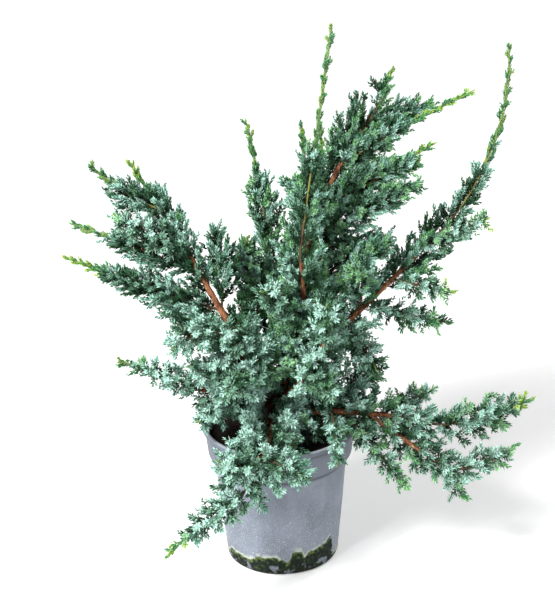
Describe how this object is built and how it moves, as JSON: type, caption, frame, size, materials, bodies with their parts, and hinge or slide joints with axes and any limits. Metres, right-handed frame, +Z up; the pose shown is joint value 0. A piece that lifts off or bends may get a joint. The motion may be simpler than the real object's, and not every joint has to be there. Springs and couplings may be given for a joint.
{
  "type": "potted flaky juniper shrub",
  "caption": "Vase-shaped blue-green conifer shrub with arching, nodding sprays of short needles, growing from a leaning trunk in a filled grey plastic nursery pot",
  "frame": {"origin": "centre of the pot's flat underside", "axes": "+Z up along the pot's axis, +X to the viewer's right in the picture, -Y towards the viewer"},
  "size_m": [0.5584, 0.4059, 0.7019],
  "materials": {
    "pot": "grey moulded nursery plastic, dusty, with green algae round the foot",
    "compost": "dark, crumbly bark compost",
    "bark": "red-brown bark that peels in thin strips",
    "needles": "short stiff needles, blue-green with a pale bloom, yellow-green at the tips"
  },
  "bodies": {
    "root": {"pot": "pot", "compost": "compost", "trunk": "bark", "left_limb": "bark", "upper_limb": "bark", "right_limb": "bark", "leader_limb": "bark", "lower_right_limb": "bark", "lower_right_arm": "bark", "drooping_limb": "bark", "lower_left_limb": "bark", "left_bank_limb": "bark", "front_limb": "bark", "back_limb": "bark", "rear_limb": "bark", "left_crest": "needles", "left_spire": "needles", "left_fringe": "needles", "left_sweep": "needles", "left_shoulder": "needles", "left_streamer": "needles", "left_bank": "needles", "centre_left": "needles", "lower_left_tail": "needles", "lower_left_bank": "needles", "lower_left_apron": "needles", "drooping_tail": "needles", "drooping_bank": "needles", "drooping_fringe": "needles", "centre_front": "needles", "centre_low": "needles", "centre_right": "needles", "centre_heart": "needles", "upper_left_bank": "needles", "left_tower": "needles", "left_leader": "needles", "back_whip": "needles", "back_plume": "needles", "rear_left_plume": "needles", "rear_right_plume": "needles", "rear_low_plume": "needles", "front_leader": "needles", "crown_tuft": "needles", "crown_fan": "needles", "golden_whip": "needles", "upper_right_first": "needles", "upper_right_second": "needles", "upper_right_third": "needles", "upper_right_fifth": "needles", "right_leader": "needles", "right_front": "needles", "right_shelf": "needles", "right_low": "needles", "right_mid": "needles", "right_tail": "needles", "right_hump": "needles", "right_skirt": "needles", "right_bank": "needles", "right_fork_tail": "needles", "right_fork_drop": "needles"}
  },
  "joints": []
}
